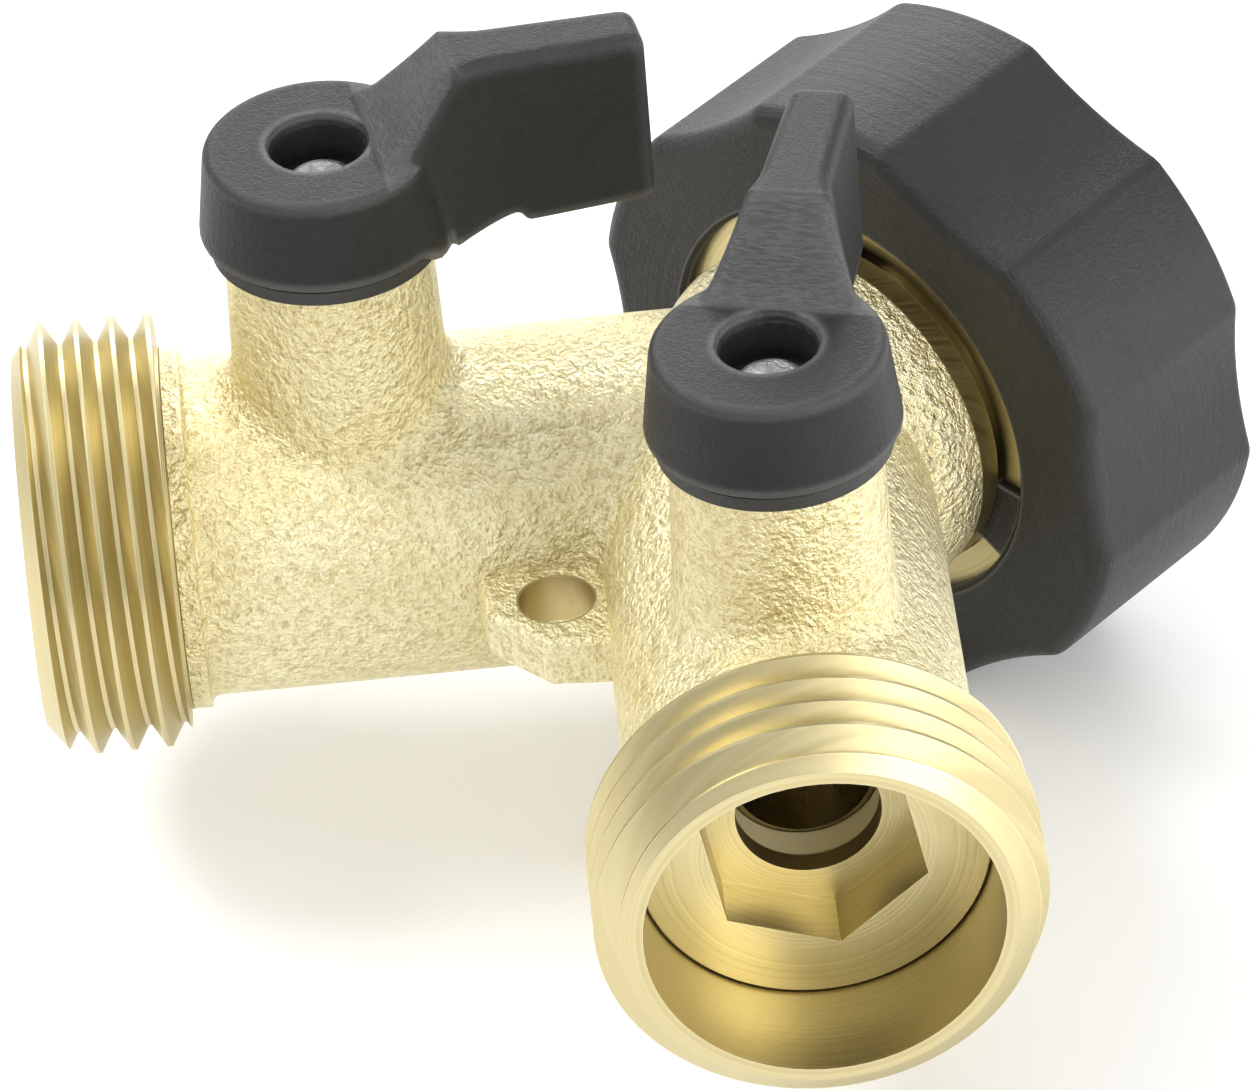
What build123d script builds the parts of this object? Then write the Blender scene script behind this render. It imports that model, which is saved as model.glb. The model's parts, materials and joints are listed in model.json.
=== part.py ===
from build123d import *
import os
from math import ceil, cos, radians, sin, sqrt, tan

# Y-shaped hose splitter: one swivel nut inlet, two ball valves, two male hose threads.
# Frame: origin at the centre of the inlet mouth, +Y out of the inlet, +Z up along the stems.
# All sizes are in millimetres.

# ---- garden hose thread, 3/4-11.5 NH ----
PITCH = 25.4 / 11.5
MALE_CREST_R = 13.5
MALE_ROOT_R = 12.06
FEMALE_CREST_R = 12.1
FEMALE_ROOT_R = 13.58
THREAD_FLAT = PITCH / 8
FLANK = radians(30)
THREAD_OVERCUT = 0.1  # how far the groove cutter passes the crest

# ---- layout ----
NUT_LENGTH = 15.3
JUNCTION_Y = -24.0  # where the two outlet arms meet the inlet axis
ARM_ANGLE = 45.0  # of each arm from the inlet axis
STEM_AT = 25.2  # stem axis, along the arm from the junction
OUTLET_AT = 45.5  # outlet face, along the arm
SIDES = {"left": -1, "right": 1}
LEVER_ANGLE = {"left": 54.0, "right": 120.0}  # open position, from +X
THREAD_TURN = {"left": -112.0, "right": -120.0}  # of the male thread about its axis

# ---- cast body ----
ARM_R = 10.6
COLLAR_R = 11.3
COLLAR_FROM = 35.2
THREAD_FROM = 36.6
MALE_LENGTH = OUTLET_AT - THREAD_FROM
LEAD_IN_R = 11.5
LEAD_IN = 1.5
BOSS_R = 6.35
BOSS_TOP = 20.7
BOSS_DRAFT = 1.8
BOSS_FILLET = 2.0
CROTCH_FILLET = 2.0
COLLAR_FILLET = 0.6
NECK_R = 12.0
NECK_CROWN = 6.2
NECK_LAND_R = 11.8
NECK_LAND = 1.4
NECK_LENGTH = 9.1
EYELET_THICK = 3.4
EYELET_Y = -19.0  # from the junction
EYELET_HOLE_R = 2.35
EYELET_EDGE = 0.5

# ---- bores of each arm, from the outlet inward ----
RUN = 0.05  # running clearance
MOUTH_R = 10.7
RETAINER_FACE = 38.3
FLANGE_R = 10.6
FLANGE_THICK = 1.2
RETAINER_R = 9.0
RETAINER_END = 31.6
CAVITY_R = 7.6
CAVITY_END = 19.0
PASSAGE_R = 4.4
HEX_FLATS = 12.3
HEX_DEPTH = 3.8
HEX_TURN = 40.0
FLANGE_EDGE = 0.12

# ---- ball, seats and stem ----
BALL_R = 7.0
BALL_BORE_R = 4.2
SEAT_R = 6.3
SEAT_BORE_R = 4.75
SEAT_TALL = 3.0
SEAT_BACK = 7.8  # from the ball's centre
STEM_R = 3.5
STEM_FLANGE_R = 4.6
STEM_FLANGE_Z = 7.35
STEM_FLANGE_THICK = 1.1
WASHER_THICK = 0.4
TONGUE_WIDE = 2.4
TONGUE_LONG = 6.2
TONGUE_BOTTOM = 4.9
SQUARE = 4.5
SQUARE_BOTTOM = 20.75
SQUARE_TOP = 23.2
RING_GROOVE_R = 2.5
RING_GROOVE_TALL = 1.2
RING_SECTION_R = 0.5
RING_HEIGHTS = {"lower": 12.0, "upper": 15.5}
DUST_RING_R = 7.1
DUST_RING_TOP = 21.75
DUST_RING_EDGE = 0.2

# ---- lever: hub turned on the stem, handle reaching from it; (outward, up) from the stem axis ----
SPIGOT_R = 4.6  # runs inside the dust ring
SPIGOT_BOTTOM = 20.85
HUB_BOTTOM = 21.85
HUB_TOP = 27.8
HUB_R = 7.7
HUB_PROFILE = [
    (0, SPIGOT_BOTTOM),
    (SPIGOT_R, SPIGOT_BOTTOM),
    (SPIGOT_R, HUB_BOTTOM),
    (HUB_R - 0.3, HUB_BOTTOM),
    (HUB_R, HUB_BOTTOM + 0.3),
    (7.0, HUB_TOP),
    (0, HUB_TOP),
]
HUB_ROUND = 0.6
HANDLE_REACH = 20.3
RAMP_FROM = 3.0
HANDLE_PROFILE = [
    (0, HUB_TOP),
    (RAMP_FROM, HUB_TOP),
    (4.2, 28.6),
    (8.1, 32.75),
    (HANDLE_REACH, 32.2),
    (HANDLE_REACH, 20.5),
    (12.1, 20.5),
    (11.7, 21.3),
    (DUST_RING_R + 0.4, 20.2),
    (DUST_RING_R + 0.2, HUB_BOTTOM),
    (0, HUB_BOTTOM),
]
# half widths of the handle, (outward, half width)
HANDLE_PLAN = [
    (0, 6.2),
    (1.5, 6.1),
    (RAMP_FROM, 5.6),
    (4.3, 4.85),
    (5.8, 4.0),
    (7.3, 3.25),
    (9.0, 2.6),
    (10.8, 2.2),
]
HANDLE_TIP_HALF = 2.0
HANDLE_TIP_ROUND = 0.9
HANDLE_EDGE = 1.0
HANDLE_LOWER_EDGE = 0.5
HANDLE_STEP_Z = 21.4
SCREW_WELL_R = 3.04
SCREW_STEP_R = 2.85
SCREW_STEP_Z = 27.1
SCREW_SEAT_Z = 24.0
SCREW_HEAD_R = 2.2
SCREW_HEAD_TALL = 1.35
SCREW_HEAD_ROUND = 0.7
SCREW_R = 1.5
SCREW_END = 16.5
CROSS_LONG = 2.7
CROSS_WIDE = 0.65
CROSS_DEEP = 0.85
CROSS_DRAFT = 8.0
CROSS_TURN = 30.0
# radius and start height of each step of the screw's well, from the top
WELL_STEPS = [(SCREW_WELL_R, SCREW_STEP_Z), (SCREW_STEP_R, SCREW_SEAT_Z), (SCREW_R + RUN, SQUARE_TOP)]

# ---- inlet swivel, stations along Y from the mouth at 0 ----
NUT_FACE = JUNCTION_Y + 8.7
NUT_LOBES = 6
NUT_LOBE_R = 20.65
NUT_SCALLOP_R = 19.45
NUT_LOBE_HALF = 15.0  # half the angle that one lobe takes
NUT_LOBE_TURN = 34.0  # first lobe's middle, from +X toward +Z
NUT_CORNER = 2.0
NUT_FRONT_ROUND = 1.3
NUT_BACK_ROUND = 0.6
NUT_HOLE_R = 13.65
NUT_LIP = 1.1
NUT_HOLE_CHAMFER = 0.35
INSERT_FACE = NUT_FACE + NUT_LIP
INSERT_R = 15.2
INSERT_RECESS_R = 11.9
INSERT_RECESS = 0.9
INSERT_FLANGE = 2.2
FEMALE_LENGTH = 7.6
MOUTH_CHAMFER = 0.4
RELIEF_R = 13.75
KEYS = 3
KEY_AT = -20.0
KEY_HALF = 12.0
KEY_PLAY = 0.3
KEY_IN_R = 11.5
KEY_FRONT = NUT_FACE + 0.5
KEY_BACK = INSERT_FACE + 1.3
SWIVEL_R = 9.5
SWIVEL_GAP = 0.08
NECK_END = JUNCTION_Y + NECK_LENGTH
TAIL_FLANGE_FROM = INSERT_FACE + INSERT_FLANGE + 0.1
TAIL_FLANGE_TO = TAIL_FLANGE_FROM + 1.5
TAIL_FLANGE_R = 11.6
TAIL_SHANK_R = 7.5
TAIL_SHANK_TO = NECK_END - 7.0
TAIL_RING_AT = NECK_END - 4.5
TAIL_BORE_R = 5.0
TAIL_GROOVE_R = TAIL_SHANK_R - 0.95
TAIL_HEX_FLATS = 10.8
TAIL_HEX_DEPTH = 5.0
HOSE_WASHER_IN_R = 7.4
HOSE_WASHER_R = 12.0
HOSE_WASHER_THICK = 2.6
HOSE_WASHER_ROUND = 0.4

STEM_CEILING = STEM_FLANGE_Z + STEM_FLANGE_THICK + WASHER_THICK + RUN
EYELET_FRONT = JUNCTION_Y - 22.6
EYELET_OUTLINE = [
    (-6.8, JUNCTION_Y - 19.1),
    (-2.5, EYELET_FRONT),
    (2.5, EYELET_FRONT),
    (6.8, JUNCTION_Y - 19.1),
    (0, JUNCTION_Y - 10.0),
]
# radius, start and end of each bore, outward along an arm and then inward along the inlet
ARM_BORES = [
    (PASSAGE_R, 0, STEM_AT),
    (SEAT_R + RUN, STEM_AT - SEAT_BACK, STEM_AT),
    (CAVITY_R, CAVITY_END, RETAINER_END),
    (RETAINER_R + RUN, RETAINER_END - 0.1, OUTLET_AT),
    (MOUTH_R, RETAINER_FACE - FLANGE_THICK, OUTLET_AT),
]
INLET_BORES = [
    (TAIL_SHANK_R + 2 * RUN, NECK_END, TAIL_SHANK_TO - 0.1),
    (TAIL_BORE_R, NECK_END, JUNCTION_Y),
]

JUNCTION = Vector(0, JUNCTION_Y, 0)


def arm_direction(side):
    angle = radians(ARM_ANGLE)
    return Vector(side * sin(angle), -cos(angle), 0)


def arm_plane(side, distance, facing=1, turn=0.0):
    """Square to an arm, at a distance from the junction; facing 1 looks out, -1 looks in."""
    direction = arm_direction(side)
    across = Vector(0, 0, 1).cross(direction).rotate(Axis((0, 0, 0), direction), turn)
    return Plane(origin=JUNCTION + direction * distance, x_dir=across, z_dir=direction * facing)


def stem_plane(side, height, turn=0.0):
    """Level plane on a stem axis, its X turned from +X."""
    at = JUNCTION + arm_direction(side) * STEM_AT
    turned = Vector(cos(radians(turn)), sin(radians(turn)), 0)
    return Plane(origin=(at.X, at.Y, height), x_dir=turned, z_dir=(0, 0, 1))


def stem_upright(side, turn=0.0):
    """Upright plane through a stem axis: X along the lever, Y up."""
    at = JUNCTION + arm_direction(side) * STEM_AT
    turned = Vector(cos(radians(turn)), sin(radians(turn)), 0)
    return Plane(origin=(at.X, at.Y, 0), x_dir=turned, z_dir=turned.cross(Vector(0, 0, 1)))


def inlet_plane(y):
    """Square to the inlet axis, X along +X and Y up, facing into the splitter."""
    return Plane(origin=(0, y, 0), x_dir=(1, 0, 0), z_dir=(0, -1, 0))


def thread_groove(length, root_r, mouth_r):
    """Helical groove up the Z axis from one pitch below 0, to cut away, in pieces of two turns each."""
    reach = mouth_r - root_r
    half_root = THREAD_FLAT / 2
    half_mouth = half_root + abs(reach) * tan(FLANK)
    pieces = []
    for number in range(ceil((length + 2 * PITCH) / (2 * PITCH))):
        start = Plane.XY.offset((2 * number - 1) * PITCH)
        with BuildPart() as groove:
            with BuildLine(start) as spiral:
                Helix(PITCH, 2 * PITCH, root_r)
            with BuildSketch(Plane(origin=spiral.line @ 0, x_dir=start.x_dir, z_dir=spiral.line % 0)):
                with BuildLine():
                    Polyline((0, -half_root), (reach, -half_mouth), (reach, half_mouth), (0, half_root), close=True)
                make_face()
            sweep(path=spiral.line, is_frenet=True)
        pieces.append(groove.part)
    return pieces


def middle(edge):
    """Centre of an edge's box, which tells a closed edge from its neighbours."""
    return edge.bounding_box().center()


def polar(radius, angle):
    return (radius * cos(radians(angle)), radius * sin(radians(angle)))


def wedge(half_angle):
    """Triangle from the axis past every inlet piece, for the anti-turn keys."""
    return [(0, 0), polar(2 * INSERT_R, -half_angle), polar(2 * INSERT_R, half_angle)]


def keep(part, label):
    part.label = label
    export_step(part, f"parts/{label}.step")


os.makedirs("parts", exist_ok=True)

# ---- hose threads, each standing on Plane.XY: the outlet's male one, the nut's female one ----
with BuildPart() as male_thread:
    with BuildSketch():
        Circle(MALE_CREST_R)
    extrude(amount=MALE_LENGTH)
    chamfer(edges().sort_by(Axis.Z)[-1], length=LEAD_IN, length2=MALE_CREST_R - LEAD_IN_R)
    for piece in thread_groove(MALE_LENGTH, MALE_ROOT_R, MALE_CREST_R + THREAD_OVERCUT):
        add(piece, mode=Mode.SUBTRACT)

with BuildPart() as female_thread:
    with BuildSketch():
        Circle(INSERT_R)
        Circle(FEMALE_CREST_R, mode=Mode.SUBTRACT)
    extrude(amount=FEMALE_LENGTH)
    mouth_edge = edges().filter_by(lambda e: middle(e).Z < 0.1 and e.radius < INSERT_R - 1)
    chamfer(mouth_edge, length=MOUTH_CHAMFER)
    for piece in thread_groove(FEMALE_LENGTH, FEMALE_ROOT_R, FEMALE_CREST_R - THREAD_OVERCUT):
        add(piece, mode=Mode.SUBTRACT)

# ---- body: a Y casting with two threaded outlets, two stem bosses, a neck and an eyelet ----
with BuildPart() as splitter_body:
    for side in SIDES.values():
        with BuildSketch(arm_plane(side, 0)):
            Circle(ARM_R)
        extrude(amount=THREAD_FROM)
    with BuildSketch(Plane.XY):
        with BuildLine():
            Line((0, JUNCTION_Y), (ARM_R, JUNCTION_Y))
            Spline(
                (ARM_R, JUNCTION_Y),
                (NECK_R, JUNCTION_Y + NECK_CROWN),
                tangents=[(0, 1), (0, 1)],
            )
            Polyline(
                (NECK_R, JUNCTION_Y + NECK_CROWN),
                (NECK_LAND_R, JUNCTION_Y + NECK_LENGTH - NECK_LAND),
                (NECK_LAND_R, JUNCTION_Y + NECK_LENGTH),
                (0, JUNCTION_Y + NECK_LENGTH),
                (0, JUNCTION_Y),
            )
        make_face()
    revolve(axis=Axis.Y)
    crotch = edges().filter_by(lambda e: abs(middle(e).X) < 0.1 and middle(e).Y < JUNCTION_Y - 5)
    fillet(crotch, radius=CROTCH_FILLET)
    for side in SIDES.values():
        with BuildSketch(stem_plane(side, BOSS_TOP)):
            Circle(BOSS_R)
        extrude(amount=-BOSS_TOP, taper=-BOSS_DRAFT)
        root = stem_plane(side, ARM_R).origin
        boss_root = edges().filter_by(lambda e: (middle(e) - root).length < 3)
        fillet(boss_root, radius=BOSS_FILLET)
    with BuildSketch(Plane.XY.offset(-EYELET_THICK / 2)):
        with BuildLine():
            Polyline(*EYELET_OUTLINE, close=True)
        make_face()
    extrude(amount=EYELET_THICK)
    plate = edges().filter_by(lambda e: middle(e).Y < EYELET_FRONT + 3 and abs(middle(e).X) < 4.5)
    fillet(plate, radius=EYELET_EDGE)
    for name, side in SIDES.items():
        with BuildSketch(arm_plane(side, COLLAR_FROM)):
            Circle(COLLAR_R)
        extrude(amount=THREAD_FROM - COLLAR_FROM)
        step = arm_plane(side, COLLAR_FROM).origin
        roots = edges().filter_by(lambda e: (middle(e) - step).length < 0.1).filter_by(GeomType.CIRCLE)
        fillet(roots.filter_by(lambda e: e.radius < ARM_R + 0.1), radius=COLLAR_FILLET)
        with Locations(arm_plane(side, THREAD_FROM, turn=THREAD_TURN[name])):
            add(male_thread.part)
        for radius, start, end in ARM_BORES:
            with BuildSketch(arm_plane(side, start)):
                Circle(radius)
            extrude(amount=end - start, mode=Mode.SUBTRACT)
        with BuildSketch(stem_plane(side, 0)):
            Circle(STEM_R + RUN)
        extrude(amount=BOSS_TOP, mode=Mode.SUBTRACT)
        with BuildSketch(stem_plane(side, 0)):
            Circle(STEM_FLANGE_R + RUN)
        extrude(amount=STEM_CEILING, mode=Mode.SUBTRACT)
    for radius, start, end in INLET_BORES:
        with BuildSketch(inlet_plane(start)):
            Circle(radius)
        extrude(amount=start - end, mode=Mode.SUBTRACT)
    with BuildSketch(Plane.XY.offset(-EYELET_THICK)):
        with Locations((0, JUNCTION_Y + EYELET_Y)):
            Circle(EYELET_HOLE_R)
    extrude(amount=2 * EYELET_THICK, mode=Mode.SUBTRACT)
keep(splitter_body.part, "splitter_body")

# ---- lever: a turned hub with a handle that ramps up from it, standing at the origin along +X ----
with BuildPart() as handle:
    with BuildSketch(Plane.XZ):
        with BuildLine():
            Polyline(*HANDLE_PROFILE, close=True)
        make_face()
    extrude(amount=HUB_R, both=True)
    with BuildSketch(Plane.XY):
        with BuildLine():
            Spline(*HANDLE_PLAN)
            Polyline(HANDLE_PLAN[-1], (HANDLE_REACH, HANDLE_TIP_HALF), (HANDLE_REACH, 0))
            mirror(about=Plane.XZ)
            Line((0, HANDLE_PLAN[0][1]), (0, -HANDLE_PLAN[0][1]))
        make_face()
    extrude(amount=2 * HUB_TOP, mode=Mode.INTERSECT)
    uprights = edges().filter_by(Axis.Z).filter_by(lambda e: middle(e).X > HANDLE_REACH - 1)
    fillet(uprights, radius=HANDLE_TIP_ROUND)
    upper = faces().filter_by(lambda f: f.normal_at().Z > 0.3 and f.center().Z > HUB_TOP + 0.1)
    rim = upper.edges().filter_by(lambda e: middle(e).X > RAMP_FROM + 0.1)
    rim = rim.filter_by(lambda e: abs(middle(e).Y) > 0.1 or middle(e).X > HANDLE_REACH - 0.1)
    fillet(rim, radius=HANDLE_EDGE)
    lower = edges().filter_by(lambda e: middle(e).Z < HANDLE_STEP_Z and middle(e).X > DUST_RING_R + 0.5)
    fillet(lower, radius=HANDLE_LOWER_EDGE)

with BuildPart() as lever_form:
    with BuildSketch(Plane.XZ):
        with BuildLine():
            Polyline(*HUB_PROFILE, close=True)
        make_face()
    revolve(axis=Axis.Z)
    fillet(edges().filter_by(lambda e: middle(e).Z > HUB_TOP - 0.1), radius=HUB_ROUND)
    add(handle.part)
    for radius, start in WELL_STEPS:
        with BuildSketch(Plane.XY.offset(start)):
            Circle(radius)
        extrude(amount=HUB_TOP, mode=Mode.SUBTRACT)
    with BuildSketch(Plane.XY.offset(SPIGOT_BOTTOM)):
        Rectangle(SQUARE + 2 * RUN, SQUARE + 2 * RUN)
    extrude(amount=SQUARE_TOP + RUN - SPIGOT_BOTTOM, mode=Mode.SUBTRACT)

# ---- both valves: ball, seats, retainer, stem with its rings, lever and screw ----
for name, side in SIDES.items():
    turn = LEVER_ANGLE[name]
    across = side * ARM_ANGLE
    stem_axis = Axis(stem_plane(side, 0).origin, (0, 0, 1))

    with BuildPart() as ball:
        with Locations(arm_plane(side, STEM_AT)):
            Sphere(BALL_R)
        with BuildSketch(arm_plane(side, STEM_AT - BALL_R)):
            Circle(BALL_BORE_R)
        extrude(amount=2 * BALL_R, mode=Mode.SUBTRACT)
        with BuildSketch(stem_plane(side, TONGUE_BOTTOM - RUN, across)):
            Rectangle(2 * BALL_R, TONGUE_WIDE + 2 * RUN)
        extrude(amount=BALL_R, mode=Mode.SUBTRACT)
    keep(ball.part, f"{name}_ball")

    for place, facing in (("inner", 1), ("outer", -1)):
        with BuildPart() as seat:
            with BuildSketch(arm_plane(side, STEM_AT - facing * SEAT_BACK, facing)):
                Circle(SEAT_R)
                Circle(SEAT_BORE_R, mode=Mode.SUBTRACT)
            extrude(amount=SEAT_TALL)
            with Locations(arm_plane(side, STEM_AT)):
                Sphere(BALL_R + RUN, mode=Mode.SUBTRACT)
        keep(seat.part, f"{name}_{place}_seat")

    with BuildPart() as retainer:
        with BuildSketch(arm_plane(side, RETAINER_END)):
            Circle(RETAINER_R)
        extrude(amount=RETAINER_FACE - RETAINER_END)
        with BuildSketch(arm_plane(side, RETAINER_FACE - FLANGE_THICK)):
            Circle(FLANGE_R)
        extrude(amount=FLANGE_THICK)
        face_middle = arm_plane(side, RETAINER_FACE).origin
        chamfer(edges().filter_by(lambda e: (middle(e) - face_middle).length < 0.1), length=FLANGE_EDGE)
        with BuildSketch(arm_plane(side, RETAINER_FACE - HEX_DEPTH)):
            RegularPolygon(HEX_FLATS / sqrt(3), 6, rotation=HEX_TURN)
        extrude(amount=HEX_DEPTH, mode=Mode.SUBTRACT)
        with BuildSketch(arm_plane(side, RETAINER_END)):
            Circle(PASSAGE_R)
        extrude(amount=RETAINER_FACE - RETAINER_END, mode=Mode.SUBTRACT)
        with BuildSketch(arm_plane(side, RETAINER_END)):
            Circle(SEAT_R + RUN)
        extrude(amount=STEM_AT + SEAT_BACK - RETAINER_END, mode=Mode.SUBTRACT)
    keep(retainer.part, f"{name}_ball_retainer")

    with BuildPart() as stem:
        with BuildSketch(stem_plane(side, TONGUE_BOTTOM, across)):
            Rectangle(TONGUE_LONG, TONGUE_WIDE)
        extrude(amount=STEM_FLANGE_Z - TONGUE_BOTTOM)
        with BuildSketch(stem_plane(side, STEM_FLANGE_Z)):
            Circle(STEM_FLANGE_R)
        extrude(amount=STEM_FLANGE_THICK)
        with BuildSketch(stem_plane(side, STEM_FLANGE_Z)):
            Circle(STEM_R)
        extrude(amount=SQUARE_BOTTOM - STEM_FLANGE_Z)
        with BuildSketch(stem_plane(side, SQUARE_BOTTOM, turn)):
            Rectangle(SQUARE, SQUARE)
        extrude(amount=SQUARE_TOP - SQUARE_BOTTOM)
        for height in RING_HEIGHTS.values():
            with BuildSketch(stem_plane(side, height - RING_GROOVE_TALL / 2)):
                Circle(STEM_R + RUN)
                Circle(RING_GROOVE_R, mode=Mode.SUBTRACT)
            extrude(amount=RING_GROOVE_TALL, mode=Mode.SUBTRACT)
        with BuildSketch(stem_plane(side, SCREW_END - RUN)):
            Circle(SCREW_R + RUN / 2)
        extrude(amount=SQUARE_TOP, mode=Mode.SUBTRACT)
    keep(stem.part, f"{name}_stem")

    with BuildPart() as thrust_washer:
        with BuildSketch(stem_plane(side, STEM_FLANGE_Z + STEM_FLANGE_THICK)):
            Circle(STEM_FLANGE_R)
            Circle(STEM_R + RUN / 2, mode=Mode.SUBTRACT)
        extrude(amount=WASHER_THICK)
    keep(thrust_washer.part, f"{name}_thrust_washer")

    for place, height in RING_HEIGHTS.items():
        with BuildPart() as ring:
            with BuildSketch(stem_upright(side, turn)):
                with Locations((RING_GROOVE_R + RING_SECTION_R + RUN / 2, height)):
                    Circle(RING_SECTION_R)
            revolve(axis=stem_axis)
        keep(ring.part, f"{name}_{place}_stem_ring")

    with BuildPart() as dust_ring:
        with BuildSketch(stem_plane(side, BOSS_TOP)):
            Circle(DUST_RING_R)
            Circle(SPIGOT_R + 2 * RUN, mode=Mode.SUBTRACT)
        extrude(amount=DUST_RING_TOP - BOSS_TOP)
        rounds = edges().filter_by(GeomType.CIRCLE).filter_by(lambda e: middle(e).Z > BOSS_TOP + 0.1)
        chamfer(rounds.filter_by(lambda e: e.radius > SPIGOT_R + 1), length=DUST_RING_EDGE)
    keep(dust_ring.part, f"{name}_dust_ring")

    with BuildPart() as lever:
        with Locations(stem_plane(side, 0, turn)):
            add(lever_form.part)
    keep(lever.part, f"{name}_lever")

    with BuildPart() as screw:
        with BuildSketch(stem_plane(side, SCREW_END)):
            Circle(SCREW_R)
        extrude(amount=SCREW_SEAT_Z - SCREW_END)
        with BuildSketch(stem_plane(side, SCREW_SEAT_Z)):
            Circle(SCREW_HEAD_R)
        extrude(amount=SCREW_HEAD_TALL)
        fillet(edges().sort_by(Axis.Z)[-1], radius=SCREW_HEAD_ROUND)
        for lie in (0, 90):
            with BuildSketch(stem_plane(side, SCREW_SEAT_Z + SCREW_HEAD_TALL, turn + CROSS_TURN + lie)):
                Rectangle(CROSS_LONG, CROSS_WIDE)
            extrude(amount=-CROSS_DEEP, mode=Mode.SUBTRACT, taper=CROSS_DRAFT)
    keep(screw.part, f"{name}_lever_screw")

# ---- inlet swivel: shell moulded on a brass thread insert, tailpiece that holds it, seals ----
with BuildPart() as nut_shell:
    with BuildSketch(inlet_plane(0)):
        with BuildLine():
            for lobe in range(NUT_LOBES):
                middle_angle = NUT_LOBE_TURN + lobe * 360 / NUT_LOBES
                first, crown, last = (middle_angle + a for a in (-NUT_LOBE_HALF, 0, NUT_LOBE_HALF))
                hollow = middle_angle + 180 / NUT_LOBES
                following = first + 360 / NUT_LOBES
                ThreePointArc(polar(NUT_LOBE_R, first), polar(NUT_LOBE_R, crown), polar(NUT_LOBE_R, last))
                ThreePointArc(polar(NUT_LOBE_R, last), polar(NUT_SCALLOP_R, hollow), polar(NUT_LOBE_R, following))
        make_face()
        fillet(vertices(), radius=NUT_CORNER)
    extrude(amount=-NUT_FACE)
    fillet(faces().sort_by(Axis.Y)[0].edges(), radius=NUT_FRONT_ROUND)
    fillet(faces().sort_by(Axis.Y)[-1].edges(), radius=NUT_BACK_ROUND)
    with BuildSketch(inlet_plane(0)):
        Circle(NUT_HOLE_R)
    extrude(amount=-NUT_FACE, mode=Mode.SUBTRACT)
    hole_edge = edges().filter_by(GeomType.CIRCLE).filter_by(lambda e: middle(e).Y < NUT_FACE + 0.1)
    chamfer(hole_edge, length=NUT_HOLE_CHAMFER)
    with BuildSketch(inlet_plane(0)):
        Circle(INSERT_R + RUN / 2)
    extrude(amount=-INSERT_FACE, mode=Mode.SUBTRACT)
    with BuildSketch(inlet_plane(KEY_BACK)):
        with PolarLocations(0, KEYS, start_angle=KEY_AT):
            Polygon(*wedge(KEY_HALF), align=None)
        Circle(INSERT_R + RUN, mode=Mode.INTERSECT)
        Circle(KEY_IN_R, mode=Mode.SUBTRACT)
    extrude(amount=KEY_BACK - KEY_FRONT)
keep(nut_shell.part, "swivel_nut_shell")

with BuildPart() as insert:
    with Locations(inlet_plane(0)):
        add(female_thread.part)
    with BuildSketch(inlet_plane(-FEMALE_LENGTH)):
        Circle(INSERT_R)
        Circle(RELIEF_R, mode=Mode.SUBTRACT)
    extrude(amount=-INSERT_FACE - FEMALE_LENGTH)
    with BuildSketch(inlet_plane(INSERT_FACE + INSERT_FLANGE)):
        Circle(INSERT_R)
        Circle(SWIVEL_R + SWIVEL_GAP, mode=Mode.SUBTRACT)
    extrude(amount=INSERT_FLANGE)
    with BuildSketch(inlet_plane(INSERT_FACE + INSERT_RECESS)):
        Circle(INSERT_RECESS_R)
    extrude(amount=INSERT_RECESS, mode=Mode.SUBTRACT)
    with BuildSketch(inlet_plane(KEY_BACK + RUN)):
        with PolarLocations(0, KEYS, start_angle=KEY_AT):
            Polygon(*wedge(KEY_HALF + KEY_PLAY), align=None)
        Circle(SWIVEL_R, mode=Mode.SUBTRACT)
    extrude(amount=KEY_BACK + RUN - INSERT_FACE, mode=Mode.SUBTRACT)
keep(insert.part, "nut_thread_insert")

with BuildPart() as tailpiece:
    for radius, start, end in (
        (TAIL_SHANK_R, NECK_END, TAIL_SHANK_TO),
        (SWIVEL_R, TAIL_FLANGE_FROM, NECK_END),
        (TAIL_FLANGE_R, TAIL_FLANGE_TO, TAIL_FLANGE_FROM),
    ):
        with BuildSketch(inlet_plane(start)):
            Circle(radius)
        extrude(amount=start - end)
    with BuildSketch(inlet_plane(TAIL_RING_AT + RING_GROOVE_TALL / 2)):
        Circle(TAIL_SHANK_R + RUN)
        Circle(TAIL_GROOVE_R, mode=Mode.SUBTRACT)
    extrude(amount=RING_GROOVE_TALL, mode=Mode.SUBTRACT)
    with BuildSketch(inlet_plane(TAIL_FLANGE_TO)):
        Circle(TAIL_BORE_R)
    extrude(amount=TAIL_FLANGE_TO - TAIL_SHANK_TO, mode=Mode.SUBTRACT)
    with BuildSketch(inlet_plane(TAIL_FLANGE_TO)):
        RegularPolygon(TAIL_HEX_FLATS / sqrt(3), 6)
    extrude(amount=TAIL_HEX_DEPTH, mode=Mode.SUBTRACT)
keep(tailpiece.part, "swivel_tailpiece")

with BuildPart() as tail_ring:
    with BuildSketch(Plane.XY):
        with Locations((TAIL_GROOVE_R + RING_SECTION_R + RUN / 2, TAIL_RING_AT)):
            Circle(RING_SECTION_R)
    revolve(axis=Axis.Y)
keep(tail_ring.part, "tailpiece_ring")

with BuildPart() as hose_washer:
    with BuildSketch(inlet_plane(TAIL_FLANGE_TO + RUN + HOSE_WASHER_THICK)):
        Circle(HOSE_WASHER_R)
        Circle(HOSE_WASHER_IN_R, mode=Mode.SUBTRACT)
    extrude(amount=HOSE_WASHER_THICK)
    fillet(edges(), radius=HOSE_WASHER_ROUND)
keep(hose_washer.part, "hose_washer")
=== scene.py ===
import json
from math import cos, radians, sin, sqrt

import bmesh
import bpy
from mathutils import Matrix, Vector


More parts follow.
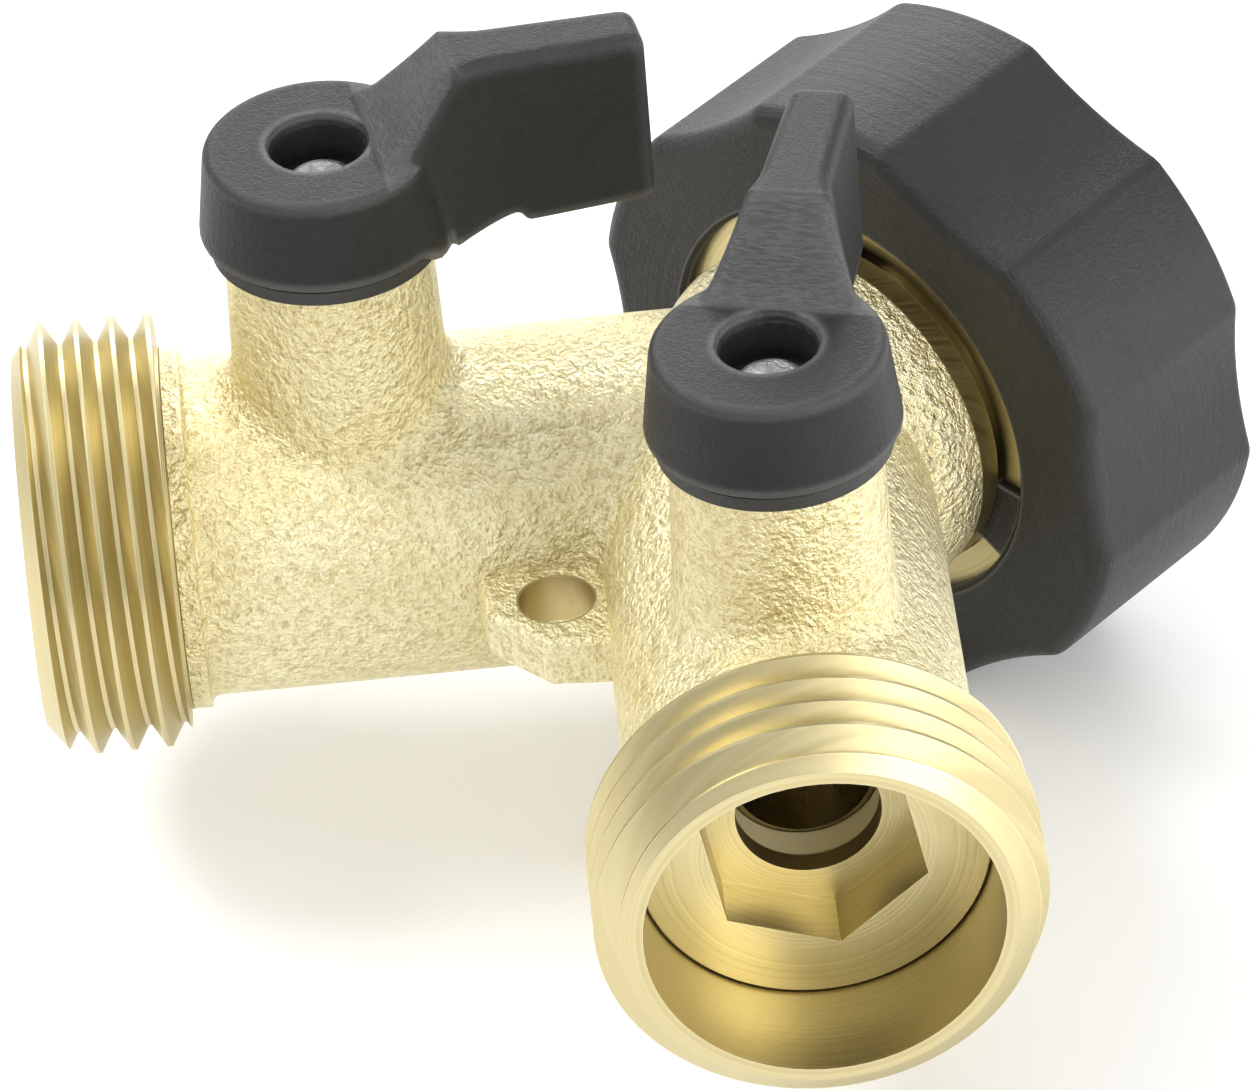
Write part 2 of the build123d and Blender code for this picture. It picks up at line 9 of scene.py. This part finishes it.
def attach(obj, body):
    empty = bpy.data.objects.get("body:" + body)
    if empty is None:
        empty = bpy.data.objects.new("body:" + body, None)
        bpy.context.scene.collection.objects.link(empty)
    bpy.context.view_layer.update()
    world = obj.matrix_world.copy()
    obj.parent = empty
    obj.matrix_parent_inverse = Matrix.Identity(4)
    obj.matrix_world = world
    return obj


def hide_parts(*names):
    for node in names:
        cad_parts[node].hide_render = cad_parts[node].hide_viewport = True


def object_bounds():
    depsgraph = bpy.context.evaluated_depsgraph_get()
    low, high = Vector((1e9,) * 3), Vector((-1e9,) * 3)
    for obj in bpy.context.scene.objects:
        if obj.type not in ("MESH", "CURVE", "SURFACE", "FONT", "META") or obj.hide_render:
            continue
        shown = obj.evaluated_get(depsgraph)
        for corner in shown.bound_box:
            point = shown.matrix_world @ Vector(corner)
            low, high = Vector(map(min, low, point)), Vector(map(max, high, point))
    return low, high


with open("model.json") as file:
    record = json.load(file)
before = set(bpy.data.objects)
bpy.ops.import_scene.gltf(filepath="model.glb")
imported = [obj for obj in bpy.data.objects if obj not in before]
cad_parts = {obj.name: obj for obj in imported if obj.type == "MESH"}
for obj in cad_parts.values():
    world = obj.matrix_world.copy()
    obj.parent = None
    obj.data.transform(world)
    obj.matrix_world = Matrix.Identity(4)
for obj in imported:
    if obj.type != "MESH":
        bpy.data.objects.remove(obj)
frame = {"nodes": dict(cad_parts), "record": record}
cad_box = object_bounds()
nodes = frame["nodes"]
MM = 0.001
DIAGONAL = sqrt(0.5)

# Layout of the part, in millimetres: the arms meet at JUNCTION_Y and reach out at 45 degrees.
JUNCTION_Y = -24.0
STEM_AT = 25.2  # along each arm
STEM_REACH = STEM_AT * DIAGONAL
LEVER_ANGLE = {"left": 54.0, "right": 120.0}
SIDES = {"left": -1, "right": 1}
THREADED_FROM = 36.4
NECK_LAND_FROM = -16.35
EYELET_AT = -43.0
EYELET_HOLE_R = 2.35
SHARP = radians(27)

# ---------------------------------------------------------------- camera

CAMERA_AT = Vector((322.05, -375.08, 350.68)) * MM
CAMERA_RIGHT = Vector((0.75637, 0.65076, -0.06655))
CAMERA_DOWN = Vector((0.35064, -0.48921, -0.79857))
CAMERA_AHEAD = Vector((-0.55223, 0.58068, -0.59821))
LENS = 272.94
SENSOR_WIDTH = 36.0
CLIP_NEAR = 0.01
CLIP_FAR = 20.0


def make_camera():
    data = bpy.data.cameras.new("camera")
    data.lens = LENS
    data.sensor_width = SENSOR_WIDTH
    data.sensor_fit = "HORIZONTAL"
    data.clip_start = CLIP_NEAR
    data.clip_end = CLIP_FAR
    camera = bpy.data.objects.new("camera", data)
    bpy.context.scene.collection.objects.link(camera)
    turn = Matrix((CAMERA_RIGHT, -CAMERA_DOWN, -CAMERA_AHEAD)).transposed().to_4x4()
    camera.matrix_world = Matrix.Translation(CAMERA_AT) @ turn
    bpy.context.scene.camera = camera


make_camera()

# ---------------------------------------------------------------- material nodes

NOISE_SPAN = (0.3, 0.7)  # noise values run mostly between these
CLOUD_SPAN = (0.35, 0.65)  # a narrower span makes clearer patches
LINE_ROUGHNESS = 0.6
COLOUR_MIX_INPUTS = (0, 6, 7)  # the share and the two colours, among the mix node's sockets
COLOUR_MIX_OUTPUT = 2
EDGE_SAMPLES = 6
EDGE_BEGINS = 0.995  # cosine of the bend where edge wear and painted highlight begin
EDGE_FULL = 0.85  # and where they are full


class Graph:
    """A material's node tree, with short calls for the nodes used here.

    Noise scales are in waves per metre; bump heights, radii and distances are in metres.
    """

    def __init__(self, name):
        self.material = bpy.data.materials.new(name)
        self.material.use_nodes = True
        self.tree = self.material.node_tree
        self.shader = self.tree.nodes["Principled BSDF"]
        coordinates = self.node("ShaderNodeTexCoord")
        facing = coordinates.outputs["Normal"]
        self.place = coordinates.outputs["Object"]
        self.x, self.y, self.z = self.node("ShaderNodeSeparateXYZ", Vector=self.place).outputs
        self.rise = self.node("ShaderNodeSeparateXYZ", Vector=facing).outputs["Z"]

    def node(self, kind, **inputs):
        made = self.tree.nodes.new(kind)
        for name, value in inputs.items():
            self.put(made.inputs[name.replace("_", " ")], value)
        return made

    def put(self, socket, value):
        """Links a socket, or sets it; three numbers are a colour."""
        if isinstance(value, bpy.types.NodeSocket):
            self.tree.links.new(value, socket)
        elif isinstance(value, tuple):
            socket.default_value = (*value, 1.0)
        else:
            socket.default_value = value

    def math(self, operation, a, b=0.0, c=0.0):
        made = self.node("ShaderNodeMath")
        made.operation = operation
        for socket, value in zip(made.inputs, (a, b, c), strict=True):
            self.put(socket, value)
        return made.outputs[0]

    def times(self, a, b):
        return self.math("MULTIPLY", a, b)

    def less(self, a, b):
        return self.math("SUBTRACT", a, b)

    def add(self, *terms):
        """Sum of terms, each a socket or a (socket, weight) pair."""
        total = 0.0
        for term in terms:
            value, weight = term if isinstance(term, tuple) else (term, 1.0)
            total = self.math("MULTIPLY_ADD", value, weight, total)
        return total

    def length(self, a, b):
        return self.math("SQRT", self.add((a, a), (b, b)))

    def noise(self, scale, detail=2.0, roughness=0.5, vector=None):
        vector = vector or self.place
        made = self.node(
            "ShaderNodeTexNoise", Vector=vector, Scale=scale, Detail=detail, Roughness=roughness
        )
        return made.outputs["Fac"]

    def line_noise(self, along, scale, detail=3.0):
        """Noise that varies along one value only."""
        made = self.node("ShaderNodeTexNoise", Scale=scale, Detail=detail, Roughness=LINE_ROUGHNESS)
        made.noise_dimensions = "1D"
        self.put(made.inputs["W"], along)
        return made.outputs["Fac"]

    def stretched(self, x, y, z):
        made = self.node("ShaderNodeCombineXYZ")
        for socket, value, weight in zip(made.inputs, (self.x, self.y, self.z), (x, y, z), strict=True):
            self.put(socket, self.times(value, weight))
        return made.outputs[0]

    def ramp(self, value, low, high, to_low=0.0, to_high=1.0):
        made = self.node("ShaderNodeMapRange")
        made.interpolation_type = "SMOOTHSTEP"
        limits = {"Value": value, "From Min": low, "From Max": high, "To Min": to_low, "To Max": to_high}
        for name, limit in limits.items():
            self.put(made.inputs[name], limit)
        return made.outputs["Result"]

    def spread(self, noise, low=0.0, high=1.0):
        return self.ramp(noise, *NOISE_SPAN, low, high)

    def cloud(self, noise, low=0.0, high=1.0):
        return self.ramp(noise, *CLOUD_SPAN, low, high)

    def mix(self, share, a, b):
        made = self.node("ShaderNodeMix")
        made.data_type = "RGBA"
        for number, value in zip(COLOUR_MIX_INPUTS, (share, a, b), strict=True):
            self.put(made.inputs[number], value)
        return made.outputs[COLOUR_MIX_OUTPUT]

    def bump(self, height, distance, under=None):
        made = self.node("ShaderNodeBump", Strength=1.0, Distance=distance, Height=height)
        if under is not None:
            self.put(made.inputs["Normal"], under)
        return made.outputs["Normal"]

    def wear_and_highlight_edges(self, radius, full=EDGE_FULL):
        """How close a point is to an edge, 0 to 1: the mask for edge wear and painted edge highlight."""
        bevel = self.node("ShaderNodeBevel", Radius=radius)
        bevel.samples = EDGE_SAMPLES
        geometry = self.node("ShaderNodeNewGeometry")
        dot = self.node("ShaderNodeVectorMath")
        dot.operation = "DOT_PRODUCT"
        self.put(dot.inputs[0], bevel.outputs[0])
        self.put(dot.inputs[1], geometry.outputs["Normal"])
        return self.ramp(dot.outputs["Value"], EDGE_BEGINS, full)

    def set(self, **inputs):
        for name, value in inputs.items():
            self.put(self.shader.inputs[name.replace("_", " ")], value)


# Each of these gives the distance along an axis and the distance from it.


def about_arm(g):
    """Both arms at once, from the junction."""
    side = g.math("ABSOLUTE", g.x)
    back = g.less(g.y, JUNCTION_Y * MM)
    along = g.times(g.less(side, back), DIAGONAL)
    off = g.times(g.add(side, back), DIAGONAL)
    return along, g.length(off, g.z)


def about_inlet(g):
    return g.y, g.length(g.x, g.z)


def about_stem(g):
    """Both stems at once."""
    side = g.less(g.math("ABSOLUTE", g.x), STEM_REACH * MM)
    back = g.less(g.y, (JUNCTION_Y - STEM_REACH) * MM)
    return g.z, g.length(side, back)


# ---------------------------------------------------------------- brass

CAST = (0.84, 0.755, 0.465)
CAST_PALE = (0.93, 0.87, 0.60)
CAST_DEEP = (0.62, 0.515, 0.24)
# the lighter colour at edges: partly wear, partly a painted highlight
CAST_WORN_HIGHLIT_EDGE = (0.92, 0.85, 0.62)
THREAD_DARK = (0.56, 0.48, 0.255)
THREAD_LIGHT = (0.64, 0.56, 0.32)
# painted shade: the dark colour of the neck's land, for the shadow between nut and neck
LAND_PAINTED_SHADE = (0.24, 0.19, 0.075)
# the eyelet hole's wall: smooth drilled brass, painted darker as shade inside the hole
DRILLED_HOLE_SHADE = (0.50, 0.40, 0.19)
TURNED_DARK = (0.58, 0.50, 0.265)
TURNED_LIGHT = (0.70, 0.61, 0.35)
# the lighter colour at turned edges: partly wear, partly a painted highlight
TURNED_WORN_HIGHLIT_EDGE = (0.90, 0.82, 0.56)

CAST_GRAIN = 3000
CAST_PEEL = 1400
CAST_WAVES = 420
CAST_CLOUDS = 70
CAST_RELIEF = 0.00036
CAST_RINGS = 5200
CAST_RING_RELIEF = 0.000010
CAST_EDGE_R = 0.00012
CAST_EDGE_WEAR_AND_HIGHLIGHT = 0.5
CAST_ROUGHNESS = (0.34, 0.46)
THREAD_ROUGHNESS = (0.34, 0.44)
HOLLOW_SPAN = (0.56, 0.36)  # the skin's noise, from level to hollow
HOLLOW_SHARE = 0.65
# how far the land takes its painted shade
LAND_SHADE_SHARE = 0.75
TURNED_RINGS = 4200
TURNED_FINE = 16000
TURNED_CLOUDS = 160
TURNED_RELIEF = 0.000012
TURNED_EDGE_R = 0.00015
TURNED_EDGE_WEAR_AND_HIGHLIGHT = 0.6
TURNED_ROUGHNESS = (0.32, 0.44)

# how far each machined region fades into the cast skin, in millimetres
THREAD_FADE = 0.1
LAND_FADE = 0.05
HOLE_FADE = (0.12, 0.04)


def cast_brass():
    """Sand-cast brass, turned bright at the threads and mouths; the neck's land by the nut and the eyelet's
    smooth drilled hole are darker, as painted shade.
    """
    g = Graph("cast_brass")
    along, out = about_arm(g)
    land_span = ((NECK_LAND_FROM - LAND_FADE) * MM, NECK_LAND_FROM * MM)
    threaded = g.ramp(along, (THREADED_FROM - THREAD_FADE) * MM, THREADED_FROM * MM)
    turned = g.math("MAXIMUM", threaded, g.ramp(g.y, *land_span))
    from_eyelet = g.length(g.x, g.less(g.y, EYELET_AT * MM))
    drilled = g.ramp(from_eyelet, *((EYELET_HOLE_R + fade) * MM for fade in HOLE_FADE))
    cast = g.less(1.0, g.math("MAXIMUM", turned, drilled))
    grain = g.noise(CAST_GRAIN, 3.0, 0.6)
    peel = g.noise(CAST_PEEL)
    rings = g.line_noise(g.add(along, (out, 0.7)), CAST_RINGS)

    tone = g.mix(g.cloud(g.noise(CAST_CLOUDS)), CAST, CAST_PALE)
    hollows = g.ramp(g.add((grain, 0.55), (peel, 0.45)), *HOLLOW_SPAN, 0.0, HOLLOW_SHARE)
    tone = g.mix(hollows, tone, CAST_DEEP)
    bright = g.mix(g.spread(rings), THREAD_DARK, THREAD_LIGHT)
    # painted shade: the land next to the nut is darkened towards its shade colour
    bright = g.mix(g.ramp(g.y, *land_span, 0.0, LAND_SHADE_SHARE), bright, LAND_PAINTED_SHADE)
    tone = g.mix(turned, tone, bright)
    # painted shade: the smooth drilled wall of the eyelet hole is darkened
    tone = g.mix(drilled, tone, DRILLED_HOLE_SHADE)
    # edges lightened, partly for wear and partly as a painted highlight
    tone = g.mix(g.times(g.wear_and_highlight_edges(CAST_EDGE_R), CAST_EDGE_WEAR_AND_HIGHLIGHT), tone, CAST_WORN_HIGHLIT_EDGE)

    relief = g.add((grain, 1.0), (peel, 1.1), (g.noise(CAST_WAVES), 0.6))
    normal = g.bump(g.times(relief, cast), CAST_RELIEF)
    normal = g.bump(g.times(rings, turned), CAST_RING_RELIEF, under=normal)
    rough = g.mix(turned, g.spread(grain, *CAST_ROUGHNESS), g.spread(rings, *THREAD_ROUGHNESS))
    g.set(Base_Color=tone, Metallic=1.0, Roughness=rough, Normal=normal)
    return g.material


def turned_brass(name, about):
    """Lathe-turned brass; about is the axis it was turned about."""
    g = Graph(name)
    along, out = about(g)
    rings = g.line_noise(g.add((along, 1.3), out), TURNED_RINGS, 4.0)
    fine = g.line_noise(g.add(along, (out, 1.1)), TURNED_FINE, 2.0)
    tone = g.mix(g.cloud(g.add((rings, 0.6), (g.noise(TURNED_CLOUDS), 0.4))), TURNED_DARK, TURNED_LIGHT)
    # edges lightened, partly for wear and partly as a painted highlight
    tone = g.mix(g.times(g.wear_and_highlight_edges(TURNED_EDGE_R), TURNED_EDGE_WEAR_AND_HIGHLIGHT), tone, TURNED_WORN_HIGHLIT_EDGE)
    normal = g.bump(g.add(rings, (fine, 0.5)), TURNED_RELIEF)
    g.set(Base_Color=tone, Metallic=1.0, Roughness=g.spread(fine, *TURNED_ROUGHNESS), Normal=normal)
    return g.material


# ---------------------------------------------------------------- plastic, rubber, steel

LEVER_BLACK = 0.011
NUT_BLACK = 0.012
# tints of a black, as multiples of it
BLACK_LOW = (0.8, 0.8, 0.78)
BLACK_HIGH = (1.2, 1.2, 1.18)
# the edge tint: partly wear, partly a painted highlight
BLACK_WORN_HIGHLIT_EDGE = (20, 20, 19.5)
# the ramp's tint: partly its marks, partly a painted sheen on the upward face
BLACK_MARKS_AND_SHEEN = (9, 9, 9)
PLASTIC_GRAIN = 5600
PLASTIC_SPECKS = 2600
PLASTIC_CLOUDS = 120
PLASTIC_RELIEF = 0.00006
PLASTIC_EDGE_WEAR_AND_HIGHLIGHT = 0.7
PLASTIC_ROUGHNESS = (0.40, 0.54)
PATCH_SPAN = (0.38, 0.62)
LEVER_EDGE_R = 0.0011
LEVER_EDGE_FULL = 0.93
LEVER_SHINE = 0.30
NUT_EDGE_R = 0.0005
NUT_SHINE = 0.40
NUT_RINGS = 2300
MARKS_SCALE = (5600, 1100, 5600)
MARKS_AND_SHEEN_SHARE = (0.5, 0.8)
RAMP_BEGINS = (0.0029, 0.0033)  # outward from the stem
RAMP_ENDS = (0.0083, 0.0079)
RAMP_RISE = (0.35, 0.55)  # how far a face must look up to be the ramp, which takes marks and a painted sheen


def plastic(name, black, edge_r, edge_full, shine, is_lever):
    """Fine-grained black moulding, lighter at the edges for wear and a painted highlight; the lever's ramp
    has marks across it, lightened where it looks up as a painted sheen, the nut has rings round it.
    """
    g = Graph(name)
    low, high, rubbed_and_highlit, marked_and_sheen = (
        tuple(black * k for k in tint) for tint in (BLACK_LOW, BLACK_HIGH, BLACK_WORN_HIGHLIT_EDGE, BLACK_MARKS_AND_SHEEN)
    )
    grain = g.noise(PLASTIC_GRAIN, 3.0, 0.65)
    specks = g.noise(PLASTIC_SPECKS, 2.0, 0.6)
    patches = g.add((g.noise(PLASTIC_CLOUDS), 0.5), (specks, 0.5))
    tone = g.mix(g.ramp(patches, *PATCH_SPAN), low, high)
    # edges lightened, partly for wear and partly as a painted highlight
    tone = g.mix(g.times(g.wear_and_highlight_edges(edge_r, edge_full), PLASTIC_EDGE_WEAR_AND_HIGHLIGHT), tone, rubbed_and_highlit)
    height = g.add(grain, (specks, 0.6))
    if is_lever:
        marks = g.noise(1.0, 2.0, 0.55, vector=g.stretched(*MARKS_SCALE))
        on_ramp = g.times(g.ramp(g.x, *RAMP_BEGINS), g.ramp(g.x, *RAMP_ENDS))
        on_ramp = g.times(on_ramp, g.ramp(g.rise, *RAMP_RISE))
        height = g.add(height, (g.times(marks, on_ramp), 1.3))
        # the ramp is lightened with its marks, partly as a painted sheen where it looks up
        tone = g.mix(g.times(on_ramp, g.cloud(marks, *MARKS_AND_SHEEN_SHARE)), tone, marked_and_sheen)
    else:
        along, out = about_inlet(g)
        height = g.add(height, (g.line_noise(g.add(out, (along, 0.6)), NUT_RINGS, 2.0), 0.7))
    rough = g.spread(grain, *PLASTIC_ROUGHNESS)
    normal = g.bump(height, PLASTIC_RELIEF)
    g.set(Base_Color=tone, Roughness=rough, Normal=normal, Specular_IOR_Level=shine)
    return g.material


# painted shade and painted brass reflection: the chrome ball is coloured a dark brassy brown
BALL_SHADE_AND_BRASS_REFLECTION = (0.40, 0.33, 0.17)
BALL_ROUGHNESS = 0.3
BALL_RELIEF = 0.000004
ZINC = (0.98, 0.98, 0.99)
ZINC_ROUGHNESS = 0.42
ZINC_RELIEF = 0.00006
PLATED_CLOUDS = 420
PLATED_FINE = 5200
PLATED_SHADE = 0.88
PLATED_SWING = 0.2


def plated(name, colour, roughness, scratches):
    g = Graph(name)
    wide = g.noise(PLATED_CLOUDS, 3.0, 0.55)
    low = tuple(c * PLATED_SHADE for c in colour)
    tone = g.mix(g.cloud(wide), low, colour)
    rough = g.spread(wide, roughness * (1 - PLATED_SWING), roughness * (1 + PLATED_SWING))
    normal = g.bump(g.noise(PLATED_FINE), scratches)
    g.set(Base_Color=tone, Metallic=1.0, Roughness=rough, Normal=normal)
    return g.material


SEAT_DARK = (0.84, 0.74, 0.48)
SEAT_LIGHT = (0.90, 0.82, 0.56)
SEAT_CLOUDS = 300
SEAT_FINE = 3500
SEAT_RELIEF = 0.000015
SEAT_ROUGHNESS = 0.45
SEAT_GLOW = 0.1
SEAT_GLOW_DEPTH = 0.0006


def seat_plastic():
    """Sealing plastic, stained warm by the brass round it."""
    g = Graph("seat_plastic")
    tone = g.mix(g.noise(SEAT_CLOUDS), SEAT_DARK, SEAT_LIGHT)
    normal = g.bump(g.noise(SEAT_FINE), SEAT_RELIEF)
    g.set(Base_Color=tone, Roughness=SEAT_ROUGHNESS, Normal=normal)
    g.set(Subsurface_Weight=SEAT_GLOW, Subsurface_Scale=SEAT_GLOW_DEPTH)
    return g.material


RUBBER_DARK = (0.014, 0.014, 0.013)
RUBBER_LIGHT = (0.028, 0.028, 0.026)
RUBBER_GRAIN = 4200
RUBBER_CLOUDS = 260
RUBBER_RELIEF = 0.00003
RUBBER_ROUGHNESS = (0.45, 0.62)


def rubber():
    g = Graph("seal_rubber")
    grain = g.noise(RUBBER_GRAIN, 3.0, 0.6)
    tone = g.mix(g.noise(RUBBER_CLOUDS), RUBBER_DARK, RUBBER_LIGHT)
    rough = g.spread(grain, *RUBBER_ROUGHNESS)
    g.set(Base_Color=tone, Roughness=rough, Normal=g.bump(grain, RUBBER_RELIEF))
    return g.material


arm_brass = turned_brass("arm_turned_brass", about_arm)
inlet_brass = turned_brass("inlet_turned_brass", about_inlet)
stem_brass = turned_brass("stem_turned_brass", about_stem)
lever_black = plastic("lever_plastic", LEVER_BLACK, LEVER_EDGE_R, LEVER_EDGE_FULL, LEVER_SHINE, True)
SLOT_MATERIALS = {
    "cast_brass": cast_brass(),
    "machined_brass": inlet_brass,
    "nut_plastic": plastic("nut_plastic", NUT_BLACK, NUT_EDGE_R, EDGE_FULL, NUT_SHINE, False),
    "lever_plastic": lever_black,
    "seat_plastic": seat_plastic(),
    "seal_rubber": rubber(),
    "valve_ball": plated("valve_ball_plating", BALL_SHADE_AND_BRASS_REFLECTION, BALL_ROUGHNESS, BALL_RELIEF),
    "screw_steel": plated("zinc_steel", ZINC, ZINC_ROUGHNESS, ZINC_RELIEF),
}
NODE_MATERIALS = {}
for side_name in SIDES:
    NODE_MATERIALS[f"{side_name}_ball_retainer"] = arm_brass
    NODE_MATERIALS[f"{side_name}_stem"] = stem_brass


def dress(mesh, material):
    mesh.materials.clear()
    mesh.materials.append(material)
    mesh.shade_smooth()
    mesh.set_sharp_from_angle(angle=SHARP)


for row in frame["record"]["subparts"]:
    name = row["node"]
    dress(nodes[name].data, NODE_MATERIALS.get(name, SLOT_MATERIALS[row["material_slot"]]))

# ---------------------------------------------------------------- moulded levers

LEVER_VOXEL = 0.17 * MM
LEVER_SOFTENING = 5
SOFTENING_SHARE = 0.5
WELD = 0.002 * MM
# the wall under each hub's rim, in millimetres about the stem
SKIRT_INNER = 7.25
SKIRT_OUTER = 7.7
SKIRT_LOW = 20.3
SKIRT_TOP = 22.3
SKIRT_RISE = 1.7
SKIRT_HALF_TURN = radians(50)
SKIRT_STEPS = 24


def add_skirt(form):
    """A low wall under the hub's rim that runs into the handle's root on both sides."""
    sections = []
    for step in range(SKIRT_STEPS + 1):
        share = 2 * step / SKIRT_STEPS - 1
        turn = share * SKIRT_HALF_TURN
        low = SKIRT_LOW + SKIRT_RISE * share**4
        corners = (
            (SKIRT_INNER, low),
            (SKIRT_OUTER, low),
            (SKIRT_OUTER, SKIRT_TOP),
            (SKIRT_INNER, SKIRT_TOP),
        )
        sections.append([form.verts.new(Vector((r * cos(turn), r * sin(turn), z)) * MM) for r, z in corners])
    for a, b in zip(sections, sections[1:], strict=False):
        for i in range(4):
            j = (i + 1) % 4
            form.faces.new((a[i], b[i], b[j], a[j]))
    form.faces.new(sections[0])
    form.faces.new(reversed(sections[-1]))


def moulded_lever(side_name):
    """The lever with the soft blends of its mould, in a frame of its own: X out along the handle."""
    at = Vector((SIDES[side_name] * STEM_REACH, JUNCTION_Y - STEM_REACH, 0)) * MM
    place = Matrix.Translation(at) @ Matrix.Rotation(radians(LEVER_ANGLE[side_name]), 4, "Z")
    form = bmesh.new()
    form.from_mesh(nodes[f"{side_name}_lever"].data)
    bmesh.ops.remove_doubles(form, verts=form.verts, dist=WELD)
    bmesh.ops.transform(form, matrix=place.inverted(), verts=form.verts)
    add_skirt(form)
    bmesh.ops.recalc_face_normals(form, faces=form.faces)
    mesh = bpy.data.meshes.new(f"{side_name}_lever_moulded")
    form.to_mesh(mesh)
    form.free()
    lever = bpy.data.objects.new(f"{side_name}_lever_moulded", mesh)
    bpy.context.scene.collection.objects.link(lever)
    remesh = lever.modifiers.new("remesh", "REMESH")
    remesh.mode = "VOXEL"
    remesh.voxel_size = LEVER_VOXEL
    smooth = lever.modifiers.new("smooth", "SMOOTH")
    smooth.factor = SOFTENING_SHARE
    smooth.iterations = LEVER_SOFTENING
    view = bpy.context.evaluated_depsgraph_get()
    view.update()
    shaped = bpy.data.meshes.new_from_object(lever.evaluated_get(view))
    lever.modifiers.clear()
    lever.data = shaped
    shaped.materials.clear()
    shaped.materials.append(lever_black)
    shaped.shade_smooth()
    lever.matrix_world = place
    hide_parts(f"{side_name}_lever")
    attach(lever, f"{side_name}_valve")


for side_name in SIDES:
    moulded_lever(side_name)

# ---------------------------------------------------------------- studio

FLOOR_REACH = 6.0
FLOOR_GAP = 0.0002  # between the floor and the part
FLOOR_DARK = (0.93, 0.93, 0.93)
FLOOR_LIGHT = (0.95, 0.95, 0.95)
FLOOR_CLOUDS = 6.0
FLOOR_ROUGHNESS = 0.9
ROOM_LOW = 0.42
ROOM_HIGH = 0.95
ROOM_FROM = -0.2
ROOM_TO = 0.9
AIM = Vector((0, -0.03, 0.005))
# name, place, size and power of each light
LIGHTS = (
    ("key", (-0.42, -0.24, 0.70), (0.35, 0.35), 3.9),
    ("fill", (0.75, -0.10, 0.34), (0.5, 0.5), 3.4),
    ("top_back", (-0.52, 0.56, 0.34), (0.45, 0.30), 3.0),
    ("rim", (0.60, 0.42, 0.12), (0.35, 0.35), 2.0),
)


def make_floor():
    level = cad_box[0][2] - FLOOR_GAP
    mesh = bpy.data.meshes.new("floor")
    corners = [(x * FLOOR_REACH, y * FLOOR_REACH, level) for x, y in ((-1, -1), (1, -1), (1, 1), (-1, 1))]
    mesh.from_pydata(corners, [], [(0, 1, 2, 3)])
    floor = bpy.data.objects.new("floor", mesh)
    bpy.context.scene.collection.objects.link(floor)
    g = Graph("pale_floor")
    g.set(Base_Color=g.mix(g.noise(FLOOR_CLOUDS), FLOOR_DARK, FLOOR_LIGHT), Roughness=FLOOR_ROUGHNESS)
    mesh.materials.append(g.material)


def area_light(name, at, size, power):
    data = bpy.data.lights.new(name, "AREA")
    data.shape = "RECTANGLE"
    data.size, data.size_y = size
    data.energy = power
    light = bpy.data.objects.new(name, data)
    light.location = at
    light.rotation_euler = (AIM - Vector(at)).to_track_quat("-Z", "Y").to_euler()
    bpy.context.scene.collection.objects.link(light)


def make_world():
    """A white room, brighter overhead than at the level of the object."""
    world = bpy.data.worlds.new("studio")
    world.use_nodes = True
    tree = world.node_tree
    background = tree.nodes["Background"]
    place = tree.nodes.new("ShaderNodeTexCoord")
    split = tree.nodes.new("ShaderNodeSeparateXYZ")
    shade = tree.nodes.new("ShaderNodeMapRange")
    shade.interpolation_type = "SMOOTHSTEP"
    limits = {"From Min": ROOM_FROM, "From Max": ROOM_TO, "To Min": ROOM_LOW, "To Max": ROOM_HIGH}
    for name, value in limits.items():
        shade.inputs[name].default_value = value
    tree.links.new(place.outputs["Generated"], split.inputs[0])
    tree.links.new(split.outputs["Z"], shade.inputs["Value"])
    tree.links.new(shade.outputs["Result"], background.inputs["Strength"])
    background.inputs["Color"].default_value = (1, 1, 1, 1)
    bpy.context.scene.world = world


make_floor()
make_world()
for light in LIGHTS:
    area_light(*light)
bpy.context.scene.view_settings.view_transform = "Standard"
